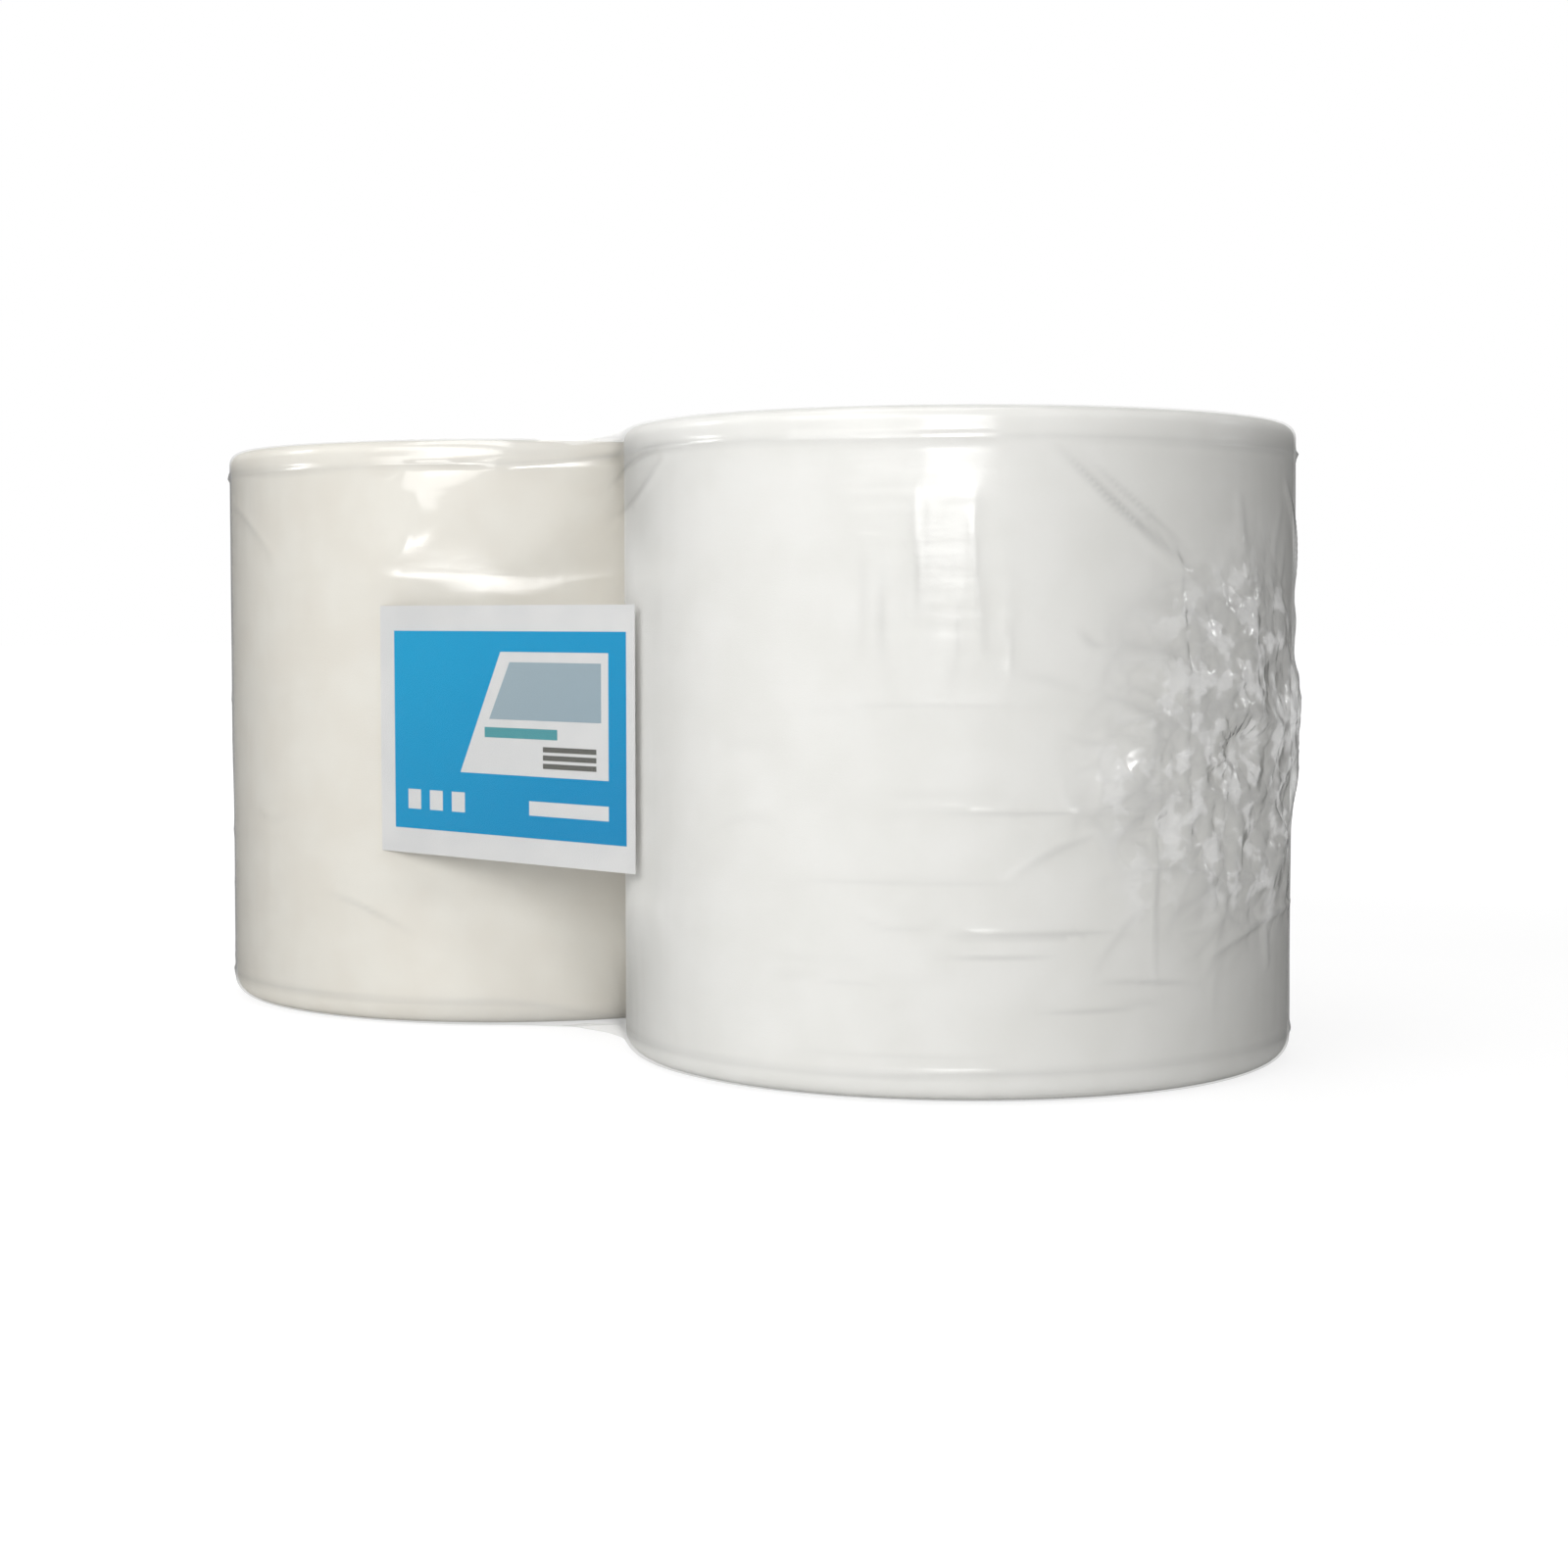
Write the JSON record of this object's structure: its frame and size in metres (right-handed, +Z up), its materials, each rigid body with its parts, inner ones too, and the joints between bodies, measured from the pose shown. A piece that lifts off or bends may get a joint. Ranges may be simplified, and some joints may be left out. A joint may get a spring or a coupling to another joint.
{
  "type": "pack of industrial paper rolls",
  "caption": "Pack of wide industrial wiping-paper rolls standing on end side by side, wrapped in clear shrink film with gathered ends and a flat paper label in the valley.",
  "frame": {"origin": "on the floor, midway between the rolls", "axes": "+X along the row of rolls, +Z up along the rolls' axes, -Y towards the label"},
  "size_m": [0.5724, 0.2804, 0.2614],
  "materials": {
    "tissue": "soft wound tissue, matt",
    "core_board": "plain wound cardboard",
    "label_paper": "smooth coated paper",
    "ink_blue": "printed field, satin",
    "ink_grey": "printed field, satin",
    "ink_teal": "printed field, satin",
    "ink_dark": "printed field, satin",
    "clear_film": "clear glossy shrink film"
  },
  "bodies": {
    "root": {"left_roll": "tissue", "right_roll": "tissue", "left_core": "core_board", "right_core": "core_board", "label_sheet": "label_paper", "label_blue_print": "ink_blue", "label_grey_print": "ink_grey", "label_teal_print": "ink_teal", "label_dark_print": "ink_dark", "shrink_film": "clear_film"}
  },
  "joints": []
}
